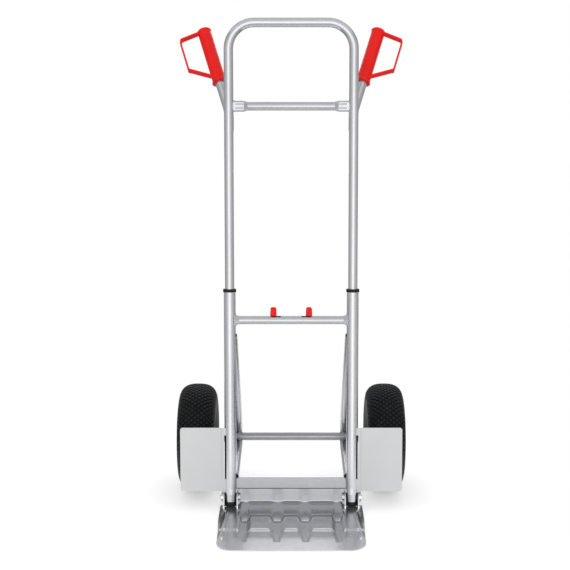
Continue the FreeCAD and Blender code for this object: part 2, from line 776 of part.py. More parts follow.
HEAD_FLATS = 13.0
HEAD_THICK = 5.3
NUT_THICK = 6.5
NUT_X = EAR_OUTER[1]


def hinge_bolt():
    centre = Vector(0, 0, HINGE_S)
    shank = rod(HINGE_BOLT_R, centre + X_AXIS * EAR_INNER[0], centre + X_AXIS * (NUT_X + NUT_THICK + 1.5))
    head = hexagon(HEAD_FLATS, HEAD_THICK, centre + X_AXIS * EAR_INNER[0], -1, 0.2)
    return shank.fuse(head)


def hinge_nut():
    centre = Vector(NUT_X, 0, HINGE_S)
    nut = hexagon(HEAD_FLATS, NUT_THICK, centre, 1, 0.35)
    return nut.cut(rod(HINGE_BOLT_R, centre - X_AXIS, centre + X_AXIS * 12))


LINER = 1.8                 # thickness of the plastic liners beside the tube's foot
LINER_R = 11.0
LINER_BOSS_R = 9.5
LINER_PLAY = 0.1


def hinge_liner(ear_x, side):
    """Plastic plate on an ear's inner face, with a boss that centres the tube's foot."""
    low = HINGE_S - 20.0
    inner = ear_x + side * LINER
    boss_x = TUBE_X - side * (FOOT_HALF_X + LINER_PLAY)
    disc = rod(LINER_R, Vector(ear_x, 0, HINGE_S), Vector(inner, 0, HINGE_S))
    skirt = block(Vector(min(ear_x, inner), -LINER_R, low), Vector(max(ear_x, inner), WALL_FRONT - GAP, HINGE_S))
    boss = rod(LINER_BOSS_R, Vector(ear_x, 0, HINGE_S), Vector(boss_x, 0, HINGE_S))
    hole = rod(HINGE_BOLT_R, Vector(ear_x - 10, 0, HINGE_S), Vector(ear_x + 10, 0, HINGE_S))
    return disc.fuse(skirt).fuse(boss).cut(hole)


# --- one wheel ------------------------------------------------------------------------------
BEAD_R = 50.0
RIM_EDGE_R = 57.0
RIM_HALF = 29.0
TYRE_WALL = 5.0
HUB_R = 27.0
BEARING_R = 23.5
BEARING_WIDTH = 14.0
DISC = 2.0
FLANGE_HALF = 2.0
RIM_BOLT_CIRCLE = 33.5
RIM_BOLT_R = 3.0
RIM_BOLT_FLATS = 10.0
RIM_BOLT_HEAD = 4.0
RIM_NUT_THICK = 5.0
RIM_BOLTS = 4
FLANGE_R = 41.0              # edge of the hub's flange and of the rims' flat discs
WELL_X = 9.0                 # where a rim's sloping well meets its bead seat


def profile_point(x, r):
    return Vector(x, 0, r)


def wheel_spun(points):
    """Turn an outline of (x from the wheel's middle, radius) points about the axle."""
    ring = spun([profile_point(x, r) for x, r in points], Vector(0, 0, 0), X_AXIS)
    ring.translate(axle_centre(WHEEL_X))
    return ring


SECTION_R = 88.0            # radius at which the tyre is widest
TREAD_THICK = 8.0


def tyre_side(half_width, crown_r, low_half, low_r):
    """Half of a tyre's round section, from the crown past the widest place, as (x, radius)."""
    crown_steps = 18
    side_steps = 9
    fullness = 0.74
    points = []
    for i in range(crown_steps + 1):
        a = math.pi / 2 * i / crown_steps
        x = half_width * math.sin(a) ** fullness
        points.append((x, SECTION_R + (crown_r - SECTION_R) * abs(math.cos(a)) ** fullness))
    for i in range(1, side_steps + 1):
        a = math.pi / 2 * i / side_steps
        x = low_half + (half_width - low_half) * math.cos(a)
        points.append((x, SECTION_R - (SECTION_R - low_r) * math.sin(a)))
    return points


def tyre():
    bead_x = RIM_HALF - GAP
    outer = tyre_side(TYRE_HALF_WIDTH, TYRE_R, RIM_HALF + 3.5, RIM_EDGE_R + 2)
    outer = outer + [(bead_x, RIM_EDGE_R), (bead_x, BEAD_R)]
    inner = tyre_side(TYRE_HALF_WIDTH - TYRE_WALL, TYRE_R - TREAD_THICK, bead_x - 8, RIM_EDGE_R + 4)
    inner = inner + [(bead_x - 9, BEAD_R)]
    right = outer + inner[::-1]
    left = [(-x, r) for x, r in right[1:-1]]
    return wheel_spun(right + left[::-1])


def inner_tube():
    wall = 2.5
    section_r = 28.0
    ring = Part.makeTorus(SECTION_R, section_r, axle_centre(WHEEL_X), X_AXIS)
    return ring.cut(Part.makeTorus(SECTION_R, section_r - wall, axle_centre(WHEEL_X), X_AXIS))


def rim_half(side):
    """Pressed half rim: bolted disc, well, bead seat and rolled edge."""
    seat = BEAD_R - GAP
    lip_end = RIM_HALF + DISC + 1.5
    points = [
        (FLANGE_HALF, HUB_R), (FLANGE_HALF, FLANGE_R), (WELL_X, seat), (RIM_HALF, seat),
        (RIM_HALF, RIM_EDGE_R), (lip_end, RIM_EDGE_R), (lip_end, RIM_EDGE_R - DISC),
        (RIM_HALF + DISC, RIM_EDGE_R - DISC), (RIM_HALF + DISC, seat - DISC), (WELL_X + 1, seat - DISC),
        (FLANGE_HALF + DISC, FLANGE_R - 1), (FLANGE_HALF + DISC, HUB_R),
    ]
    half = wheel_spun([(side * x, r) for x, r in points])
    through = X_AXIS * RIM_HALF
    for centre in rim_bolt_centres():
        half = half.cut(rod(RIM_BOLT_R + FIT, centre - through, centre + through))
    if side > 0:
        half = half.cut(rod(VALVE_R, valve_foot(), valve_foot() + through * 2))
    return half


def rim_bolt_centres():
    centres = []
    for i in range(RIM_BOLTS):
        a = 2 * math.pi * (i + 0.5) / RIM_BOLTS
        offset = Vector(0, RIM_BOLT_CIRCLE * math.cos(a), RIM_BOLT_CIRCLE * math.sin(a))
        centres.append(axle_centre(WHEEL_X) + offset)
    return centres


def rim_bolt(centre):
    seat = FLANGE_HALF + DISC
    past_nut = 2.0
    shank = rod(RIM_BOLT_R, centre - X_AXIS * (seat + RIM_NUT_THICK + past_nut), centre + X_AXIS * seat)
    return shank.fuse(hexagon(RIM_BOLT_FLATS, RIM_BOLT_HEAD, centre + X_AXIS * seat, 1))


def rim_nut(centre):
    seat = FLANGE_HALF + DISC
    nut = hexagon(RIM_BOLT_FLATS, RIM_NUT_THICK, centre - X_AXIS * seat, -1)
    return nut.cut(rod(RIM_BOLT_R, centre - X_AXIS * RIM_HALF, centre))


def hub():
    """Sleeve with a bearing seat in each end and a flange between the rim halves."""
    seat = BEARING_WIDTH + 1
    waist_r = BEARING_R - 2.5
    points = [
        (-HUB_HALF, BEARING_R), (-HUB_HALF, HUB_R), (-FLANGE_HALF, HUB_R), (-FLANGE_HALF, FLANGE_R),
        (FLANGE_HALF, FLANGE_R), (FLANGE_HALF, HUB_R), (HUB_HALF, HUB_R), (HUB_HALF, BEARING_R),
        (HUB_HALF - seat, BEARING_R), (HUB_HALF - seat, waist_r),
        (-HUB_HALF + seat, waist_r), (-HUB_HALF + seat, BEARING_R),
    ]
    sleeve = wheel_spun(points)
    for centre in rim_bolt_centres():
        sleeve = sleeve.cut(rod(RIM_BOLT_R + FIT, centre - X_AXIS * DISC * 2, centre + X_AXIS * DISC * 2))
    return sleeve


def bearing(side):
    """Ball bearing with its rings and seal drawn as one turned ring."""
    face = HUB_HALF
    back = HUB_HALF - BEARING_WIDTH
    bore_r = AXLE_R + FIT
    groove = 1.0
    race = 3.5
    points = [
        (back, bore_r), (back, BEARING_R), (face, BEARING_R), (face, BEARING_R - race),
        (face - groove, BEARING_R - race), (face - groove, bore_r + race), (face, bore_r + race), (face, bore_r),
    ]
    return wheel_spun([(side * x, r) for x, r in points])


VALVE_R = 4.2


def valve_foot():
    below_axle = 41.5
    return axle_centre(WHEEL_X + FLANGE_HALF + GAP) - Z_AXIS * below_axle


def valve():
    """Rubber stem with its cap, out through the rim's outer half."""
    foot = valve_foot()
    stem_length = 24.0
    cap_length = 10.0
    cap_wall = 0.8
    stem = rod(VALVE_R, foot, foot + X_AXIS * stem_length)
    cap_foot = foot + X_AXIS * stem_length
    return stem.fuse(rod(VALVE_R + cap_wall, cap_foot, cap_foot + X_AXIS * cap_length))


# --- write every node -------------------------------------------------------------------------
def main():
    os.makedirs("parts", exist_ok=True)
    save_pair("upright", standing(upright()))
    save_pair("foot_plug", standing(foot_plug()))
    save_pair("collar", standing(collar()))
    save_pair("guard", standing(guard()))
    save_pair("brace", brace())
    save("lower_crossbar", standing(lower_crossbar()))
    save("cross_plate", standing(cross_plate()))
    save("axle", axle())
    save_pair("axle_spacer", axle_spacer())
    inner_washer = axle_washer(WHEEL_X - HUB_HALF - WASHER - WHEEL_PLAY)
    outer_washer = axle_washer(WHEEL_X + HUB_HALF + WHEEL_PLAY)
    save("axle_washers", inner_washer, outer_washer, mirrored(inner_washer), mirrored(outer_washer))
    save("split_pins", split_pin(), mirrored(split_pin()))
    save("pin_guides", standing(pin_guide()), standing(mirrored(pin_guide())))
    save("lock_stop", standing(lock_stop()))

    save("hoop_tube", standing(hoop_tube()))
    save("upper_crossbar", standing(upper_crossbar()))
    save_pair("hoop_plug", standing(hoop_end_plug()))
    save_pair("grip_tube", grip_tube())
    save_pair("grip", grip())

    save_pair("lock_pin", standing(lock_pin()))
    save_pair("lock_knob", standing(lock_knob()))
    save_pair("lock_spring", standing(lock_spring()))

    sheet = toe_plate()
    save("toe_plate", sheet)
    save_pair("hinge_ears", fitted_ear(*EAR_INNER, sheet), fitted_ear(*EAR_OUTER, sheet))
    save_pair("hinge_bolt", standing(hinge_bolt()))
    save_pair("hinge_nut", standing(hinge_nut()))
    save_pair("hinge_liners", standing(hinge_liner(EAR_INNER[1], 1)), standing(hinge_liner(EAR_OUTER[0], -1)))

    save_pair("tyre", tyre())
    save_pair("inner_tube", inner_tube())
    save_pair("rim_outer", rim_half(1))
    save_pair("rim_inner", rim_half(-1))
    save_pair("hub", hub())
    save_pair("bearings", bearing(1), bearing(-1))
    save_pair("rim_bolts", *[rim_bolt(centre) for centre in rim_bolt_centres()])
    save_pair("rim_nuts", *[rim_nut(centre) for centre in rim_bolt_centres()])
    save_pair("valve", valve())


main()
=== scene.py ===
"""Looks of the telescopic hand truck: materials, detailed pieces, studio and camera. Metres."""
import json
import math

import bmesh
import bpy
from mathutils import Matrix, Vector


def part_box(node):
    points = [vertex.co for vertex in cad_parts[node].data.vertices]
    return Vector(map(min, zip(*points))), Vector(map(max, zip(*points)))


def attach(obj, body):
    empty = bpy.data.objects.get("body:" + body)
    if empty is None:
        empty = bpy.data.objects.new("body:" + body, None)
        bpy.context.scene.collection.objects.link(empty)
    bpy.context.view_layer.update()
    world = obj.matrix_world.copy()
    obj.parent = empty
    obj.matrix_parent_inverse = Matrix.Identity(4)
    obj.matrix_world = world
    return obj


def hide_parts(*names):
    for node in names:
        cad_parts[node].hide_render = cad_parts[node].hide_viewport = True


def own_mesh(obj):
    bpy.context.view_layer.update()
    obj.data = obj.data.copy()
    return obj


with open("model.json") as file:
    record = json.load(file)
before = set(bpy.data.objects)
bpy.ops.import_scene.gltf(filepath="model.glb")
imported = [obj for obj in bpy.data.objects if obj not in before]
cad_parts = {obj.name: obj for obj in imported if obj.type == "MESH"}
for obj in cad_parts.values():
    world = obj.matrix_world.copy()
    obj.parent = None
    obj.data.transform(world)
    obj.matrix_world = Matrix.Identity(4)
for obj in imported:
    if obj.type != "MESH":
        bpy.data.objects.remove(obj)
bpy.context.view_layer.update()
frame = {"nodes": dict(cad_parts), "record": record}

SIDES = (("left", -1), ("right", 1))

MM = 0.001
LEAN = math.radians(5.0)
UP = Vector((0, math.sin(LEAN), math.cos(LEAN)))        # along the leaning tubes
BACK = Vector((0, math.cos(LEAN), -math.sin(LEAN)))     # square to them, away from the load


# --- places, worked out from the frame -----------------------------------------------------
def middle(node):
    low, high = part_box(node)
    return (low + high) / 2


def size(node):
    low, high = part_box(node)
    return high - low


TUBE_X = middle("right_upright").x
UPRIGHT_R = 14 * MM
HOOP_R = 11 * MM
FOOT_Y = (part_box("toe_plate")[0].y + 243 * MM)          # y of the tubes' centre plane at the floor


def stand(x, v, s):
    """A point from its place in the leaning frame: across, behind the tubes, along them."""
    return Vector((x, FOOT_Y, 0)) + BACK * v + UP * s


# --- materials -----------------------------------------------------------------------------
class Nodes:
    """A short way to write a node material."""

    def __init__(self, name):
        self.material = bpy.data.materials.new(name)
        self.material.use_nodes = True
        self.tree = self.material.node_tree
        self.shader = self.tree.nodes["Principled BSDF"]
        coord = self.tree.nodes.new("ShaderNodeTexCoord")
        self.place = coord.outputs["Object"]

    def set(self, **values):
        for key, value in values.items():
            self.shader.inputs[key.replace("_", " ")].default_value = value

    def add(self, kind, **values):
        node = self.tree.nodes.new("ShaderNode" + kind)
        for key, value in values.items():
            setattr(node, key, value)
        return node

    def link(self, source, target):
        self.tree.links.new(source, target)

    def stretched(self, scale):
        mapping = self.add("Mapping")
        mapping.inputs["Scale"].default_value = scale
        self.link(self.place, mapping.inputs["Vector"])
        return mapping.outputs["Vector"]

    def noise(self, scale, detail=2.0, rough=0.5, stretch=None, distortion=0.0):
        texture = self.add("TexNoise")
        texture.inputs["Scale"].default_value = scale
        texture.inputs["Detail"].default_value = detail
        texture.inputs["Roughness"].default_value = rough
        texture.inputs["Distortion"].default_value = distortion
        self.link(self.stretched(stretch) if stretch else self.place, texture.inputs["Vector"])
        return texture.outputs["Fac"]

    def span(self, value, low, high, to_low, to_high):
        """Map a range of a value onto another, clamped."""
        node = self.add("MapRange")
        node.inputs["From Min"].default_value = low
        node.inputs["From Max"].default_value = high
        node.inputs["To Min"].default_value = to_low
        node.inputs["To Max"].default_value = to_high
        self.link(value, node.inputs["Value"])
        return node.outputs["Result"]

    def math(self, operation, a, b):
        node = self.add("Math", operation=operation)
        for i, value in enumerate((a, b)):
            if isinstance(value, (int, float)):
                node.inputs[i].default_value = value
            else:
                self.link(value, node.inputs[i])
        return node.outputs[0]

    def blend(self, factor, colour_a, colour_b):
        node = self.add("Mix", data_type="RGBA")
        self.link(factor, node.inputs["Factor"])
        for socket, colour in ((node.inputs[6], colour_a), (node.inputs[7], colour_b)):
            if isinstance(colour, tuple):
                socket.default_value = (*colour, 1)
            else:
                self.link(colour, socket)
        return node.outputs[2]

    def inside(self, ranges):
        """1 where the size of each named coordinate lies in its range of metres, else 0, with soft edges."""
        split = self.add("SeparateXYZ")
        self.link(self.place, split.inputs["Vector"])
        mask = 1.0
        for axis, (low, high) in ranges.items():
            value = self.math("ABSOLUTE", split.outputs[axis], 0.0)
            mask = self.math("MULTIPLY", self.span(value, low - SOFT, low + SOFT, 0.0, 1.0), mask)
            mask = self.math("MULTIPLY", self.span(value, high - SOFT, high + SOFT, 1.0, 0.0), mask)
        return mask

    def bump(self, height, depth, strength=1.0):
        node = self.add("Bump")
        node.inputs["Distance"].default_value = depth
        node.inputs["Strength"].default_value = strength
        self.link(height, node.inputs["Height"])
        self.link(node.outputs["Normal"], self.shader.inputs["Normal"])


# near black, the default tone of painted shade in gaps, slots and along edges
SHADE_BLACK = (0.010, 0.010, 0.011)


def silver(name, light, dark, rough, streak, metallic=0.9, place=None, shade_tone=SHADE_BLACK):
    """Silver coat on steel: cloudy tone, fine streaks along one direction, a grainy skin.

    place gives the ranges of a part of the surface that has a darker tone instead, as painted shade; the last
    argument gives that tone.
    """
    n = Nodes(name)
    n.set(Metallic=metallic)
    clouds = n.noise(9.0, detail=4.0)
    streaks = n.noise(60.0, detail=3.0, stretch=streak)
    tone = n.math("ADD", n.math("MULTIPLY", clouds, 0.5), n.math("MULTIPLY", streaks, 0.5))
    shade = n.span(tone, 0.3, 0.7, 0.0, 1.0)
    colour = n.blend(shade, dark, light)
    if place:
        # painted shade: inside the places the colour turns to the darker tone
        colour = n.blend(n.inside(place), colour, shade_tone)
    n.link(colour, n.shader.inputs["Base Color"])
    scuffs = n.noise(230.0, detail=3.0, rough=0.65, stretch=streak)
    n.link(n.span(scuffs, 0.35, 0.7, rough - 0.05, rough + 0.09), n.shader.inputs["Roughness"])
    grains = n.noise(1500.0, detail=2.0)
    skin = n.math("ADD", n.math("MULTIPLY", grains, 0.25), n.math("MULTIPLY", streaks, 0.3))
    n.bump(skin, 0.08 * MM)
    return n.material


def painted(name, light, dark, rough, metallic):
    """Smooth paint with a slight orange peel."""
    n = Nodes(name)
    n.set(Metallic=metallic)
    clouds = n.noise(14.0, detail=5.0)
    n.link(n.blend(n.span(clouds, 0.35, 0.65, 0.0, 1.0), dark, light), n.shader.inputs["Base Color"])
    peel = n.noise(700.0, detail=2.0)
    n.link(n.span(peel, 0.3, 0.7, rough - 0.04, rough + 0.06), n.shader.inputs["Roughness"])
    n.bump(peel, 0.06 * MM)
    return n.material


def plastic(name, light, dark, rough, coat=0.0):
    """Moulded plastic: nearly even colour with a fine moulded grain."""
    n = Nodes(name)
    n.set(Coat_Weight=coat, Coat_Roughness=0.12, Specular_IOR_Level=0.2)
    clouds = n.noise(30.0, detail=3.0)
    n.link(n.blend(n.span(clouds, 0.35, 0.65, 0.0, 1.0), dark, light), n.shader.inputs["Base Color"])
    grain = n.noise(1800.0, detail=3.0)
    n.link(n.span(grain, 0.3, 0.7, rough - 0.04, rough + 0.08), n.shader.inputs["Roughness"])
    n.bump(grain, 0.05 * MM)
    return n.material


def rubber(name, light, dark, rough, shine):
    """Black rubber with a dusty bloom and fine pores."""
    n = Nodes(name)
    n.set(Specular_IOR_Level=shine)
    bloom = n.noise(45.0, detail=6.0, rough=0.6)
    n.link(n.blend(n.span(bloom, 0.4, 0.75, 0.0, 1.0), dark, light), n.shader.inputs["Base Color"])
    pores = n.noise(900.0, detail=4.0, rough=0.6)
    n.link(n.span(pores, 0.3, 0.7, rough - 0.08, rough + 0.1), n.shader.inputs["Roughness"])
    n.bump(pores, 0.15 * MM)
    return n.material


SOFT = 0.4 * MM                 # half the width over which a place's edge fades
# places with painted shade in a darker tone, as ranges of |X| and Z
GUARD_GAP_SHADE = {"X": (154.6 * MM, 200 * MM), "Z": (79 * MM, 185 * MM)}     # painted shade, black on the uprights' outer side beside each wheel guard
PLATE_EDGE_SHADOW = {"Z": (0.0, 53.2 * MM)}                                    # painted shadow, black along the cross plate's lower edge
KNOB_SLOT_SHADE = {"X": (24.5 * MM, 46 * MM), "Z": (467.4 * MM, 480 * MM)}   # painted shade, black round the knobs' slots
REAR_WALL_SHADE = {"Z": (16.5 * MM, 90 * MM)}                                 # painted shade, a darker tone on the toe plate's rear wall
# stretch of the fine streaks, short along the tubes and bars
ALONG_TUBE = (14.0, 14.0, 0.5)
ALONG_BAR = (0.5, 14.0, 14.0)
# light and dark tone of the coat
TUBE_TONES = ((0.66, 0.67, 0.69), (0.58, 0.59, 0.61))
BAR_TONES = ((0.60, 0.61, 0.63), (0.52, 0.53, 0.55))
MATERIALS = {
    "tube_steel": silver("tube_silver", *TUBE_TONES, 0.22, ALONG_TUBE),
    # painted shade in black on the uprights beside the wheel guards
    "upright_steel": silver("upright_silver_guard_shade", *TUBE_TONES, 0.22, ALONG_TUBE, place=GUARD_GAP_SHADE),
    "bar_steel": silver("bar_silver", *BAR_TONES, 0.22, ALONG_BAR),
    # painted shade in black round the knobs' slots
    "slotted_steel": silver("slotted_silver_slot_shade", *BAR_TONES, 0.22, ALONG_BAR, place=KNOB_SLOT_SHADE),
    # painted shadow in black along the cross plate's lower edge
    "plate_steel": silver("plate_silver_edge_shadow", (0.46, 0.47, 0.49), (0.40, 0.41, 0.43), 0.24, ALONG_BAR,
                          place=PLATE_EDGE_SHADOW),
    "guard_steel": painted("guard_paint", (0.66, 0.67, 0.675), (0.64, 0.65, 0.655), 0.5, 0.1),
    # painted shade: the toe plate's rear wall has a darker tone
    "toe_steel": silver("toe_silver_wall_shade", (0.70, 0.71, 0.73), (0.60, 0.61, 0.64), 0.20, ALONG_BAR,
                        place=REAR_WALL_SHADE, shade_tone=(0.47, 0.48, 0.50)),
    # painted shade along the toe plate's crease, a dark silver
    "crease_steel": silver("crease_painted_shade", (0.20, 0.21, 0.23), (0.14, 0.15, 0.17), 0.36, ALONG_BAR),
    "axle_steel": silver("drawn_steel", (0.40, 0.41, 0.43), (0.28, 0.29, 0.31), 0.26, ALONG_BAR, 1.0),
    "zinc_hardware": silver("bright_zinc", (0.78, 0.78, 0.75), (0.62, 0.62, 0.60), 0.26, ALONG_BAR, 1.0),
    "bearing_steel": silver("ground_steel", (0.60, 0.60, 0.61), (0.50, 0.50, 0.51), 0.24, ALONG_BAR, 1.0),
    "rim_steel": painted("rim_paint", (0.62, 0.63, 0.65), (0.56, 0.57, 0.59), 0.36, 0.7),
    "black_plastic": plastic("black_nylon", (0.022, 0.022, 0.023), (0.012, 0.012, 0.013), 0.48),
    "red_plastic": plastic("red_moulding", (0.98, 0.009, 0.006), (0.90, 0.006, 0.005), 0.34, 0.15),
    "tyre_rubber": rubber("tyre_black", (0.011, 0.013, 0.016), (0.002, 0.003, 0.004), 0.46, 0.25),
    "tube_rubber": rubber("smooth_rubber", (0.030, 0.030, 0.031), (0.015, 0.015, 0.015), 0.5, 0.2),
}
FINISHES = {                    # nodes whose finish is not the plain one of their slot
    "lower_crossbar": "slotted_steel", "upper_crossbar": "bar_steel", "cross_plate": "plate_steel",
    "left_upright": "upright_steel", "right_upright": "upright_steel",
}
EDGED = ("guard", "cross_plate", "hinge_ears")      # sheet pieces with broken edges


def break_edges(thing, sharper_than):
    """Round the edges that turn by more than an angle in degrees."""
    bevel = thing.modifiers.new("edges", "BEVEL")
    bevel.width = 0.5 * MM
    bevel.limit_method = "ANGLE"
    bevel.angle_limit = math.radians(sharper_than)
    bevel.segments = 2


def dress_nodes():
    """Give every CAD node its finish, and the sheet pieces among them broken edges."""
    for entry in frame["record"]["subparts"]:
        node = frame["nodes"][entry["node"]]
        finish = FINISHES.get(entry["node"], entry["material_slot"])
        node.data.materials.clear()
        node.data.materials.append(MATERIALS[finish])
        if entry["node"].endswith(EDGED):
            break_edges(node, 50)


# --- pieces --------------------------------------------------------------------------------
def piece(name, verts, faces, slot, body):
    """A smooth mesh object that rides on a body and has the material of a slot."""
    mesh = bpy.data.meshes.new(name)
    mesh.from_pydata([tuple(v) for v in verts], [], faces)
    mesh.validate()
    mesh.update()
    mesh.polygons.foreach_set("use_smooth", [True] * len(mesh.polygons))
    thing = bpy.data.objects.new(name, mesh)
    bpy.context.scene.collection.objects.link(thing)
    mesh.materials.append(MATERIALS[slot])
    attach(thing, body)
    return thing


def ring_faces(count, first, second):
    """Quads between two closed rings of vertex numbers, each given by its first number."""
    faces = []
    for i in range(count):
        j = (i + 1) % count
        faces.append((first + i, first + j, second + j, second + i))
    return faces


def turned(origin, axis, outline, steps, ripple=None):
    """Verts and faces of an outline of (along, radius) turned about an axis, ends left open."""
    axis = axis.normalized()
    side = axis.orthogonal().normalized()
    other = axis.cross(side)
    verts = []
    faces = []
    for k, (along, radius) in enumerate(outline):
        for i in range(steps):
            a = 2 * math.pi * i / steps
            r = radius + (ripple(k, a) if ripple else 0)
            verts.append(origin + axis * along + side * (r * math.cos(a)) + other * (r * math.sin(a)))
        if k:
            faces += ring_faces(steps, (k - 1) * steps, k * steps)
    return verts, faces


def smooth_step(value, low, high):
    """0 below low, 1 above high and an even S-curve between them."""
    t = min(max((value - low) / (high - low), 0), 1)
    return t * t * (3 - 2 * t)


# --- tyres ---------------------------------------------------------------------------------
TYRE_R = size("right_tyre").z / 2
TYRE_HALF = size("right_tyre").x / 2
SECTION_R = 88 * MM             # radius at which the tyre is widest
TREAD_DEPTH = 3.0 * MM
BLOCKS_ROUND = 66               # diamonds in one row round the tyre
BLOCK_ROWS = 8                  # rows of diamonds on each side of the middle one
BLOCK_ROW = 7.6 * MM            # from one row of diamonds to the next, over the section
GROOVE = 2.7 * MM               # width between two diamonds
FULLNESS = 0.74                 # how square the shoulders are, 1 is an ellipse
BEAD_POINT = (28.7 * MM, 57 * MM)       # where the tyre ends in the rim: x, radius
BEAD_SIDE = (32.5 * MM, 59 * MM)        # where the sidewall meets the rim's edge
SIDE_RING = 0.9 * MM                    # height of the upper raised ring on a sidewall
LOW_RING = 0.7 * MM


def section_point(a, sink):
    """A point (x, radius) of the tyre's section, a from 0 at the crown to 90 degrees."""
    x = (TYRE_HALF - sink) * abs(math.sin(a)) ** FULLNESS
    r = SECTION_R + (TYRE_R - SECTION_R - sink) * abs(math.cos(a)) ** FULLNESS
    return math.copysign(x, a), r


def section_by_length(sink, steps=400):
    """The section's points with their distance from the crown."""
    table = [(0.0, 0.0)]
    last = section_point(0.0, sink)
    for i in range(1, steps + 1):
        a = math.pi / 2 * i / steps
        point = section_point(a, sink)
        table.append((table[-1][0] + math.dist(point, last), a))
        last = point
    return table


SECTION_TABLE = section_by_length(0)


def section_angle(length):
    """The section's angle at a distance from the crown, with its sign."""
    wanted = abs(length)
    for (l_0, a_0), (l_1, a_1) in zip(SECTION_TABLE, SECTION_TABLE[1:]):
        if l_1 >= wanted:
            t = (wanted - l_0) / (l_1 - l_0)
            return math.copysign(a_0 + (a_1 - a_0) * t, length)
    return math.copysign(math.pi / 2, length)


def on_tyre(centre, turn, length, sink):
    """A point on the tyre from its turn about the axle and its place over the section."""
    x, r = section_point(section_angle(length), sink)
    return centre + Vector((x, -r * math.cos(turn), r * math.sin(turn)))


def tread_block(verts, faces, centre, turn, length):
    """One diamond of the tread: a top with its edges broken and sides that slope to the groove."""
    half_turn = math.pi / BLOCKS_ROUND
    cells = 4                   # mesh cells along one edge
    shrink = GROOVE / (2 * math.hypot(half_turn * TYRE_R, BLOCK_ROW)) * 2
    # the foot in the groove, the broken edge and the top, as (share of the full size, depth)
    rings = ((1 - 0.35 * shrink, TREAD_DEPTH + 0.3 * MM), (1 - 0.95 * shrink, 0.55 * MM),
             (1 - 1.35 * shrink, 0.0))
    first = len(verts)
    along = [i / cells for i in range(cells)]
    edge = ([(t, 0.0) for t in along] + [(1.0, t) for t in along]
            + [(1 - t, 1.0) for t in along] + [(0.0, 1 - t) for t in along])

    def put(p, q, scale, sink):
        """Add a point of the diamond, p and q from 0 to 1 along its edges."""
        u = (p - q) * half_turn * scale
        v = (p + q - 1) * BLOCK_ROW * scale
        verts.append(on_tyre(centre, turn + u, length + v, sink))

    for scale, sink in rings:
        for p, q in edge:
            put(p, q, scale, sink)
    count = len(edge)
    faces += ring_faces(count, first, first + count)
    faces += ring_faces(count, first + count, first + 2 * count)
    # the top inside the last ring: a grid of the inner points
    grid = {}
    for k, (p, q) in enumerate(edge):
        grid[(round(p * cells), round(q * cells))] = first + 2 * count + k
    for i in range(1, cells):
        for j in range(1, cells):
            grid[(i, j)] = len(verts)
            put(i / cells, j / cells, rings[-1][0], 0.0)
    for i in range(cells):
        for j in range(cells):
            faces.append((grid[(i, j)], grid[(i + 1, j)], grid[(i + 1, j + 1)], grid[(i, j + 1)]))


def sidewall_outline():
    """The carcass from bead to bead as (x, radius), with two raised rings on each sidewall."""
    half = []
    steps = 26                  # the tread's depth fades between steps 19 and 24
    for i in range(steps + 1):
        half.append(section_point(math.pi / 2 * i / steps, TREAD_DEPTH * (1 - smooth_step(i, 19, 24))))
    side_x, side_r = BEAD_SIDE
    low_steps = 22
    for i in range(1, low_steps + 1):
        t = i / low_steps
        a = math.pi / 2 * t
        rib = SIDE_RING * (smooth_step(t, 0.10, 0.14) - smooth_step(t, 0.18, 0.22))
        rib += LOW_RING * (smooth_step(t, 0.62, 0.66) - smooth_step(t, 0.74, 0.78))
        x = side_x + (TYRE_HALF - side_x) * math.cos(a) + rib - SIDE_RING
        half.append((x, SECTION_R - (SECTION_R - side_r) * math.sin(a)))
    half.append(BEAD_POINT)
    return [(-x, r) for x, r in half[:0:-1]] + half


def tyre(side_name):
    """The carcass and its diamonds, which are turned half a pitch from row to row."""
    centre = middle(side_name + "_tyre")
    verts, faces = turned(centre, Vector((1, 0, 0)), sidewall_outline(), 160)
    pitch = 2 * math.pi / BLOCKS_ROUND
    for row in range(-BLOCK_ROWS, BLOCK_ROWS + 1):
        for i in range(BLOCKS_ROUND):
            turn = (i + 0.5 * (row % 2)) * pitch
            tread_block(verts, faces, centre, turn, row * BLOCK_ROW)
    name = side_name + "_tyre"
    tread = piece(name + "_tread", verts, faces, "tyre_rubber", side_name + "_wheel")
    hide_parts(name)


# --- toe plate -----------------------------------------------------------------------------
TOE_HALF = size("toe_plate").x / 2
SHEET = 3 * MM
LIP = 0.2 * MM                  # height of the outer edges over the valleys' floor
SHELF = 4.6 * MM                # height of the lands before their shoulder
LAND = 7.4 * MM                 # height of the lands behind it
CORNER = 36 * MM                # radius of the two front corners
SIDE_FLARE = 3 * MM             # the plate is a little wider beside the hinges
REACH = 243 * MM                # from the tubes' centre plane to the front edge
SHOULDER_Y = -138 * MM          # where the lands start to slope down to the lip
SHELF_Y = -178 * MM             # from here the front slopes down to the lip
CREASE_Y = -62 * MM             # where the ramp to the rear wall starts on a land
CREASE_DIP = 19 * MM            # the crease lies further forward in a valley
CREASE_DEPTH = 0.25 * MM
CREASE_HALF = 3 * MM            # half the groove's width
CREASE_END = 121 * MM           # |x| where the crease's line of painted shade ends
CREASE_SHADE_HALF = 3.4 * MM         # half the width of the line of painted shade along it
RAMP_SLOPE = 0.115
RAMP_END_Y = 8 * MM             # where the bend to the wall starts
WALL_V = 8.3 * MM               # how far the wall stands behind the tubes' centre plane
BEND_TOP = 20 * MM              # where the bend ends, along the wall
WALL_TOP = 68 * MM
WALL_SIDE_TOP = 46 * MM         # top of the wall outside the feet
NOTCH = (130.5 * MM, 159.5 * MM)        # the openings for the feet, from and to |x|
NOTCH_Y = -3 * MM
VALLEYS = ((32.6 * MM, 20.5 * MM), (108.5 * MM, 16 * MM))      # centre, half width
VALLEY_END = 8.5 * MM           # half width of every valley at its front end
VALLEY_FRONT_Y = -196 * MM
RIB_BACK = (-30 * MM, 151 * MM)         # the side ribs' crest at the back, y and |x|
RIB_FRONT = (-190 * MM, 161 * MM)
RIB_HEIGHT = 1.6 * MM
HAIR = 1e-6


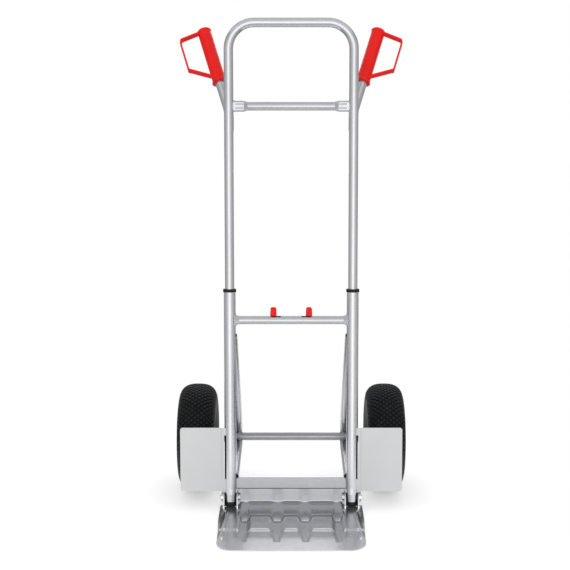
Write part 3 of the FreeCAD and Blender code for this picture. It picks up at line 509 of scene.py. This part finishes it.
def valley(x, y):
    """How deep the place is in a valley, from 0 on a land to 1 on a valley's floor."""
    across = abs(x)
    deepest = 0.0
    for centre, wide in VALLEYS:
        opening = smooth_step(y, VALLEY_FRONT_Y, -150 * MM)
        half = VALLEY_END + (wide - VALLEY_END) * opening
        half -= 3 * MM * smooth_step(y, CREASE_Y - CREASE_DIP, CREASE_Y + 20 * MM)
        gap = abs(across - centre)
        cut = 1 - smooth_step(gap, half * (0.3 - 0.25 * smooth_step(y, CREASE_Y, 0)), half)
        deepest = max(deepest, cut * smooth_step(y, -205 * MM, VALLEY_FRONT_Y))
    return deepest


def crease_line(x, y):
    """Where the ramp starts, further forward in a valley."""
    return CREASE_Y - CREASE_DIP * valley(x, y)


def toe_top(x, y):
    """Height of the sheet's upper face on the floor part and its ramp."""
    across = abs(x)
    deep = valley(x, y)
    land = LAND - (LAND - SHELF) * (1 - smooth_step(y, SHOULDER_Y - 9 * MM, SHOULDER_Y))
    t = min(max((y + REACH) / (SHELF_Y + REACH), 0), 1)
    land -= (SHELF - LIP) * (1 - t * (1.1 - 0.1 * t ** 10))
    height = land * (1 - deep)
    # the long rib beside each edge, further out towards the front
    (back_y, back_x), (front_y, front_x) = RIB_BACK, RIB_FRONT
    crest = back_x + (front_x - back_x) * min(max((back_y - y) / (back_y - front_y), 0), 1.1)
    rib = 1 - smooth_step(abs(across - crest), 1.0 * MM, 8.0 * MM)
    rib *= smooth_step(y, -208 * MM, -180 * MM) * (1 - smooth_step(y, -30 * MM, -10 * MM))
    edge = smooth_step(across, crest + 1 * MM, TOE_HALF)
    height += RIB_HEIGHT * rib - 0.2 * (height - LIP) * edge * smooth_step(y, -215 * MM, -190 * MM)
    # the ramp to the rear wall, with a pressed crease at its foot
    middle_part = 1 - smooth_step(across, 119 * MM, 127 * MM)
    crease = crease_line(x, y)
    ramp = max(y - crease, 0) * (RAMP_SLOPE + 0.02 * deep)
    groove = smooth_step(y, crease - CREASE_HALF, crease) - smooth_step(y, crease, crease + CREASE_HALF)
    height += (ramp - CREASE_DEPTH * groove) * middle_part
    return SHEET + height


def toe_rows():
    """Places along the plate's side view: (kind, value)."""
    rows = []
    front_steps = 18
    for i in range(front_steps):
        a = math.pi / 2 * i / front_steps
        rows.append(("floor", -REACH + CORNER * (1 - math.cos(a))))
    y = -REACH + CORNER
    while y < NOTCH_Y - HAIR:
        rows.append(("floor", y))
        near_crease = CREASE_Y - CREASE_DIP - 8 * MM < y < CREASE_Y + 4 * MM
        y += 0.55 * MM if near_crease else 1.7 * MM
    rows.append(("floor", NOTCH_Y))
    rows.append(("floor", RAMP_END_Y))
    bend_steps = 6
    for i in range(1, bend_steps + 1):
        rows.append(("bend", i / bend_steps))
    low = BEND_TOP
    for stop, count in ((WALL_SIDE_TOP, 10), (WALL_TOP, 8)):
        for i in range(1, count + 1):
            rows.append(("wall", low + (stop - low) * i / count))
        low = stop
    return rows


def toe_columns():
    """Places across the plate, with lines on the notches' edges."""
    stops = (-TOE_HALF, -NOTCH[1], -NOTCH[0], 0.0, NOTCH[0], NOTCH[1], TOE_HALF)
    columns = []
    for low, high in zip(stops, stops[1:]):
        count = max(5, round((high - low) / (1.5 * MM)))
        for i in range(count):
            columns.append(low + (high - low) * i / count)
    return columns + [TOE_HALF]


def wall_point(x, s):
    """A point of the rear wall's front face; the valleys run up it and fade out."""
    dent = 1.3 * MM * valley(x, 0.0) * (1 - smooth_step(s, 30 * MM, 64 * MM))
    return stand(x, WALL_V + dent, s)


def toe_point(kind, value, x):
    """A point of the upper or front face: on the floor part, the rear wall or the bend between."""
    if kind == "floor":
        depth = value + REACH
        inset = 0.0
        if depth < CORNER:
            inset = CORNER - math.sqrt(max(CORNER ** 2 - (CORNER - depth) ** 2, 0))
        height = toe_top(x * (TOE_HALF - inset) / TOE_HALF, value)
        wider = SIDE_FLARE * smooth_step(abs(x), NOTCH[1], TOE_HALF) * smooth_step(value, -190 * MM, -70 * MM)
        x *= (TOE_HALF - inset + wider) / TOE_HALF
        return Vector((x, FOOT_Y + value, height))
    if kind == "wall":
        return wall_point(x, value)
    start = Vector((x, FOOT_Y + RAMP_END_Y, toe_top(x, RAMP_END_Y)))
    end = wall_point(x, BEND_TOP)
    rise = (end.y - start.y) * RAMP_SLOPE
    corner = Vector((x, end.y - 0.6 * MM, start.z + rise))
    t = value
    return start * (1 - t) ** 2 + corner * (2 * t * (1 - t)) + end * t ** 2


def toe_plate():
    """The pressed sheet: lip, lands and valleys, ramp, bend and rear wall, open at the feet."""
    columns = toe_columns()
    rows = toe_rows()
    verts = [toe_point(kind, value, x) for kind, value in rows for x in columns]
    width = len(columns)
    faces = []
    crease_shaded = []
    for r in range(len(rows) - 1):
        kind, value = rows[r + 1]
        for c in range(width - 1):
            x = abs(columns[c] + columns[c + 1]) / 2
            in_notch = NOTCH[0] < x < NOTCH[1]
            if in_notch and (kind != "floor" or value > NOTCH_Y + HAIR):
                continue
            if kind == "wall" and x > NOTCH[0] and value > WALL_SIDE_TOP + HAIR:
                continue
            faces.append((r * width + c, r * width + c + 1, (r + 1) * width + c + 1, (r + 1) * width + c))
            # faces along the crease get the dark silver, painted shade in the crease
            in_crease_shade = abs(value - crease_line(x, value)) < CREASE_SHADE_HALF
            crease_shaded.append(kind == "floor" and x < CREASE_END and in_crease_shade)
    plate = piece("toe_plate_pressing", verts, faces, "toe_steel", "toe")
    plate.data.materials.append(MATERIALS["crease_steel"])
    for face, shaded in zip(plate.data.polygons, crease_shaded):
        face.material_index = int(shaded)
    bm = bmesh.new()
    bm.from_mesh(plate.data)
    bmesh.ops.delete(bm, geom=[v for v in bm.verts if not v.link_faces], context="VERTS")
    bm.to_mesh(plate.data)
    bm.free()
    solid = plate.modifiers.new("sheet", "SOLIDIFY")
    solid.thickness = SHEET
    solid.offset = -1
    break_edges(plate, 60)
    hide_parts("toe_plate")


# --- grips and knobs -----------------------------------------------------------------------
def soften(thing, voxel, rounds):
    """Round every edge and inner corner, as in a moulding."""
    remesh = thing.modifiers.new("skin", "REMESH")
    remesh.mode = "VOXEL"
    remesh.voxel_size = voxel
    remesh.use_smooth_shade = True
    relax = thing.modifiers.new("relax", "SMOOTH")
    relax.factor = 0.5
    relax.iterations = rounds


KNOB_S = 471.3 * MM             # height of a knob's underside along the tubes
STEM_R = 3 * MM
NEARLY_0 = 0.1 * MM             # radius of the pinhole in the middle of a turned end


def knob(side_name):
    """Lock knob: twelve grip ribs on a slightly tapered cap with a rounded top."""
    name = side_name + "_lock_knob"
    tall = 20.5 * MM
    shaft = tall * 0.86         # below the rounded top
    start = stand(middle(name).x, 0, KNOB_S)
    wide = 7.3 * MM
    narrow = 6.3 * MM
    outline = [(0.0, 0.0), (0.0, wide - 0.8 * MM), (0.5 * MM, wide)]
    steps = 8
    for i in range(1, steps + 1):
        t = i / steps
        outline.append((shaft * t, wide + (narrow - wide) * t))
    for i in range(1, 5):
        a = math.pi / 2 * i / 5
        outline.append((shaft + tall * 0.14 * math.sin(a), narrow * (0.45 + 0.55 * math.cos(a))))
    outline.append((tall, narrow * 0.4))
    outline.append((tall, NEARLY_0))

    def ripple(k, a):
        """The grip ribs, left out at the foot and over the top."""
        if k < 2 or k > steps + 2:
            return 0.0
        return 0.75 * MM * max(math.cos(12 * a), -0.25)

    verts, faces = turned(start, UP, outline, 96, ripple)
    stem_outline = [(0, NEARLY_0), (0, STEM_R), (15 * MM, STEM_R)]
    stem, stem_faces = turned(start - UP * 14 * MM, UP, stem_outline, 24)
    offset = len(verts)
    verts += stem
    faces += [tuple(i + offset for i in face) for face in stem_faces]
    cap = piece(name + "_cap", verts, faces, "red_plastic", side_name + "_lock")
    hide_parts(name)


def squeeze_spring(side_name):
    """Give the lock spring, which gets shorter towards the middle of the bar as its knob is pulled in, a mesh
    of its own.
    """
    name = side_name + "_lock_spring"
    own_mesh(frame["nodes"][name])


# --- welds ---------------------------------------------------------------------------------
LOWER_BAR_S = 461 * MM          # heights of the two crossbars' axes along the tubes
UPPER_BAR_S = 961 * MM
# straight beads on each side: name, |x|, place behind the tubes, from and to along them, in mm
STRAIGHT_BEADS = (("tab_top", 155.0, -9.6, 187, 202), ("tab_low", 155.0, -9.6, 57, 77),
                  ("cross", 131.9, 3.6, 54, 77))
THICK_BEAD = 1.5 * MM
THIN_BEAD = 1.3 * MM


def bead(name, points, radius, body, closed=False):
    """A weld bead along a line of places, with the ripples of its run."""
    ring = 8                    # places round the bead
    verts = []
    count = len(points)
    for i, point in enumerate(points):
        before = points[i - 1] if i or closed else point
        after = points[(i + 1) % count] if i < count - 1 or closed else point
        along = (after - before).normalized()
        side = along.orthogonal().normalized()
        other = along.cross(side)
        swell = radius * (0.84 + 0.16 * math.cos(i * math.pi / 2) + 0.06 * math.sin(i * 1.7))
        if not closed and i in (0, count - 1):
            swell *= 0.35
        for k in range(ring):
            a = 2 * math.pi * k / ring
            verts.append(point + side * (swell * math.cos(a)) + other * (swell * math.sin(a)))
    faces = []
    for i in range(count if closed else count - 1):
        faces += ring_faces(ring, i * ring, (i + 1) % count * ring)
    if not closed:
        faces.append(tuple(range(ring)))
        faces.append(tuple(range((count - 1) * ring, count * ring))[::-1])
    bm = bmesh.new()
    thing = piece(name, verts, faces, "tube_steel", body)
    bm.from_mesh(thing.data)
    bmesh.ops.recalc_face_normals(bm, faces=bm.faces)
    bm.to_mesh(thing.data)
    bm.free()


def saddle(side, s, tube_r, half_deep, half_tall, steps):
    """Where a level bar of oval section meets an upright tube, as places round the joint."""
    places = []
    for i in range(steps):
        a = 2 * math.pi * i / steps
        v = half_deep * math.cos(a)
        x = TUBE_X - math.sqrt(tube_r ** 2 - v ** 2)
        places.append(stand(side * x, v, s + half_tall * math.sin(a)))
    return places


def welds():
    """Beads round the crossbars' ends and along the guards' tabs and the cross plate's ends."""
    for side_name, side in SIDES:
        bead(side_name + "_weld_lower", saddle(side, LOWER_BAR_S, UPRIGHT_R, 12.2 * MM, 14.2 * MM, 72),
             THICK_BEAD, "frame", closed=True)
        bead(side_name + "_weld_upper", saddle(side, UPPER_BAR_S, HOOP_R, 5.2 * MM, 13.6 * MM, 64),
             THIN_BEAD, "hoop", closed=True)
        for name, x, v, low, high in STRAIGHT_BEADS:
            count = round((high - low) / 0.9)
            places = [stand(side * x * MM, v * MM, (low + (high - low) * i / count) * MM)
                      for i in range(count + 1)]
            bead(side_name + "_weld_" + name, places, THIN_BEAD, "frame")


# --- studio --------------------------------------------------------------------------------
# the light from a direction by its Y, from the camera's side at -1 to behind the truck at 1
SKY = ((-1.0, 1.75), (-0.95, 1.45), (-0.82, 0.92), (-0.5, 0.66), (0.0, 0.52), (0.55, 0.42), (0.95, 0.54))
SKY_TOP = 2.0                   # the strength at the top of the curve
FLOOR_HALF = 0.62


def put_lamp(name, data, place=(0, 0, 0), tilt=0.0):
    """Hang a light at a place, tilted in degrees about X from straight down."""
    lamp = bpy.data.objects.new(name, data)
    lamp.location = place
    lamp.rotation_euler = (math.radians(tilt), 0, 0)
    bpy.context.scene.collection.objects.link(lamp)


def floor_sheet():
    """A small pale floor that glows a little, so that it stays white round the truck."""
    mesh = bpy.data.meshes.new("floor")
    corners = [(-FLOOR_HALF, -FLOOR_HALF, 0), (FLOOR_HALF, -FLOOR_HALF, 0),
               (FLOOR_HALF, FLOOR_HALF, 0), (-FLOOR_HALF, FLOOR_HALF, 0)]
    mesh.from_pydata(corners, [], [(0, 1, 2, 3)])
    floor = bpy.data.objects.new("floor", mesh)
    bpy.context.scene.collection.objects.link(floor)
    n = Nodes("floor_white")
    n.set(Roughness=1.0, Specular_IOR_Level=0.0, Base_Color=(0.88, 0.88, 0.88, 1))
    n.set(Emission_Color=(1, 1, 1, 1), Emission_Strength=0.46)
    mesh.materials.append(n.material)


def sky():
    """Soft light all round; only the camera sees the background itself, and sees it white."""
    scene = bpy.context.scene
    world = bpy.data.worlds.new("studio")
    scene.world = world
    world.use_nodes = True
    tree = world.node_tree
    background = tree.nodes["Background"]
    background.inputs["Color"].default_value = (1, 1, 1, 1)
    coord = tree.nodes.new("ShaderNodeTexCoord")
    split = tree.nodes.new("ShaderNodeSeparateXYZ")
    curve = tree.nodes.new("ShaderNodeFloatCurve")
    shift = tree.nodes.new("ShaderNodeMapRange")
    shift.inputs["From Min"].default_value = -1.0
    scale = tree.nodes.new("ShaderNodeMath")
    scale.operation = "MULTIPLY"
    scale.inputs[1].default_value = SKY_TOP
    path = tree.nodes.new("ShaderNodeLightPath")
    seen = tree.nodes.new("ShaderNodeMix")
    seen.inputs["B"].default_value = 1.0
    points = curve.mapping.curves[0].points
    while len(points) < len(SKY):
        points.new(0.5, 0.5)
    for point, (y, strength) in zip(points, SKY):
        point.location = ((y + 1) / 2, strength / SKY_TOP)
        point.handle_type = "AUTO_CLAMPED"
    points[-1].location.x = 1.0
    curve.mapping.update()
    tree.links.new(coord.outputs["Generated"], split.inputs["Vector"])
    tree.links.new(split.outputs["Y"], shift.inputs["Value"])
    tree.links.new(shift.outputs["Result"], curve.inputs["Value"])
    tree.links.new(curve.outputs["Value"], scale.inputs[0])
    # dimmer overhead and underfoot, so that level tubes darken towards their edges
    height = tree.nodes.new("ShaderNodeMath")
    height.operation = "ABSOLUTE"
    dim = tree.nodes.new("ShaderNodeMapRange")
    dim.inputs["From Min"].default_value = 0.30
    dim.inputs["From Max"].default_value = 0.75
    dim.inputs["To Min"].default_value = 1.0
    dim.inputs["To Max"].default_value = 0.5
    dimmed = tree.nodes.new("ShaderNodeMath")
    dimmed.operation = "MULTIPLY"
    tree.links.new(split.outputs["Z"], height.inputs[0])
    tree.links.new(height.outputs[0], dim.inputs["Value"])
    tree.links.new(scale.outputs[0], dimmed.inputs[0])
    tree.links.new(dim.outputs["Result"], dimmed.inputs[1])
    tree.links.new(dimmed.outputs[0], seen.inputs["A"])
    tree.links.new(path.outputs["Is Camera Ray"], seen.inputs["Factor"])
    tree.links.new(seen.outputs["Result"], background.inputs["Strength"])


def studio():
    """Floor, sky, one wide light overhead and a low strip behind the truck."""
    bpy.context.scene.view_settings.view_transform = "Standard"
    floor_sheet()
    sky()
    sun = bpy.data.lights.new("overhead", "SUN")
    sun.energy = 1.0
    sun.angle = math.radians(110)
    put_lamp("overhead", sun)

    # the strip is mirrored in the pressings of the toe plate
    strip = bpy.data.lights.new("rear_strip", "AREA")
    strip.shape = "RECTANGLE"
    strip.size = 2.4
    strip.size_y = 0.45
    strip.energy = 5.5
    put_lamp("rear_strip", strip, (0, 1.75, 1.62), -48)


def camera():
    """The photo's viewpoint: in front, at the height of the grips, looking slightly down."""
    lens = bpy.data.cameras.new("camera")
    lens.sensor_width = 36
    lens.lens = 77.05
    lens.shift_x = -0.0109
    thing = bpy.data.objects.new("camera", lens)
    thing.location = (0, FOOT_Y - 2.77, 1.10)
    thing.rotation_euler = (math.radians(90 - 11.2), 0, 0)
    bpy.context.scene.collection.objects.link(thing)
    bpy.context.scene.camera = thing


def main():
    dress_nodes()
    for side_name, _ in SIDES:
        tyre(side_name)
        knob(side_name)
        soften(frame["nodes"][side_name + "_grip"], voxel=0.7 * MM, rounds=5)
        squeeze_spring(side_name)
    toe_plate()
    welds()
    studio()
    camera()


main()
